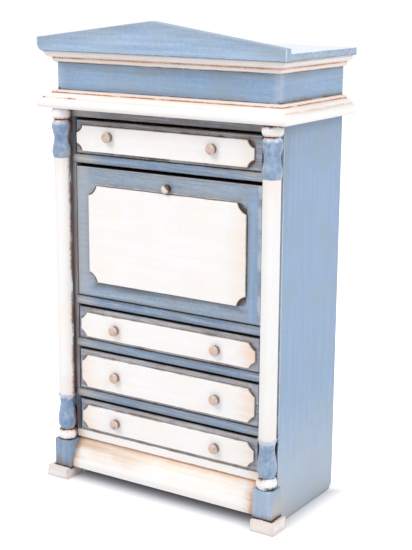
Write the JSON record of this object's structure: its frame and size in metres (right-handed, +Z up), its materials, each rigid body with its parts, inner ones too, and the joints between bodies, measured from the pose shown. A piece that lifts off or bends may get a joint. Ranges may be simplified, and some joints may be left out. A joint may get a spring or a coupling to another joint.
{
  "type": "secretary desk",
  "caption": "Miniature fall-front secretary desk with drawers, a hinged writing flap over pigeonholes, corner columns, a moulded cornice and a low pediment, in blue and white paint.",
  "frame": {"origin": "on the floor, at the middle of the desk's footprint", "axes": "+Z up, the front faces -Y, +X to the right as seen from the front"},
  "size_m": [0.0918, 0.0444, 0.1524],
  "materials": {
    "blue_paint": "satin brushed paint",
    "white_paint": "satin brushed paint",
    "stained_wood": "matt stain",
    "bare_wood": "bare",
    "knob_wood": "satin",
    "pin_brass": "drawn wire"
  },
  "bodies": {
    "case": {"left_side_panel": "blue_paint", "right_side_panel": "blue_paint", "case_top": "blue_paint", "upper_divider": "blue_paint", "desk_floor": "blue_paint", "middle_divider": "blue_paint", "lower_divider": "blue_paint", "left_plinth_block": "blue_paint", "right_plinth_block": "blue_paint", "frieze_front": "blue_paint", "frieze_left": "blue_paint", "frieze_right": "blue_paint", "top_board": "blue_paint", "pediment_board": "blue_paint", "bottom_board": "white_paint", "apron": "white_paint", "left_column": "white_paint", "right_column": "white_paint", "left_foot": "white_paint", "right_foot": "white_paint", "lower_cornice_front": "white_paint", "lower_cornice_left": "white_paint", "lower_cornice_right": "white_paint", "crown_front": "white_paint", "crown_left": "white_paint", "crown_right": "white_paint", "back_panel": "stained_wood", "frieze_back": "stained_wood", "pigeonhole_shelf": "stained_wood", "pigeonhole_dividers": "stained_wood", "hinge_pins": "pin_brass"},
    "flap": {"flap_board": "blue_paint", "flap_panel": "white_paint", "flap_knob": "knob_wood"},
    "top_drawer": {"top_drawer_front": "blue_paint", "top_drawer_panel": "white_paint", "top_drawer_sides": "bare_wood", "top_drawer_back": "bare_wood", "top_drawer_bottom": "bare_wood", "top_drawer_knobs": "knob_wood"},
    "upper_drawer": {"upper_drawer_front": "blue_paint", "upper_drawer_panel": "white_paint", "upper_drawer_sides": "bare_wood", "upper_drawer_back": "bare_wood", "upper_drawer_bottom": "bare_wood", "upper_drawer_knobs": "knob_wood"},
    "middle_drawer": {"middle_drawer_front": "blue_paint", "middle_drawer_panel": "white_paint", "middle_drawer_sides": "bare_wood", "middle_drawer_back": "bare_wood", "middle_drawer_bottom": "bare_wood", "middle_drawer_knobs": "knob_wood"},
    "lower_drawer": {"lower_drawer_front": "blue_paint", "lower_drawer_panel": "white_paint", "lower_drawer_sides": "bare_wood", "lower_drawer_back": "bare_wood", "lower_drawer_bottom": "bare_wood", "lower_drawer_knobs": "knob_wood"}
  },
  "joints": [
    {"name": "flap_hinge", "type": "hinge", "parent": "case", "child": "flap", "pos_m": [0, -0.0145, 0.06415], "axis": [1, 0, 0], "range_deg": [0, 90]},
    {"name": "top_drawer_slide", "type": "slide", "parent": "case", "child": "top_drawer", "axis": [0, -1, 0], "range_m": [0, 0.028]},
    {"name": "upper_drawer_slide", "type": "slide", "parent": "case", "child": "upper_drawer", "axis": [0, -1, 0], "range_m": [0, 0.028]},
    {"name": "middle_drawer_slide", "type": "slide", "parent": "case", "child": "middle_drawer", "axis": [0, -1, 0], "range_m": [0, 0.028]},
    {"name": "lower_drawer_slide", "type": "slide", "parent": "case", "child": "lower_drawer", "axis": [0, -1, 0], "range_m": [0, 0.028]}
  ]
}
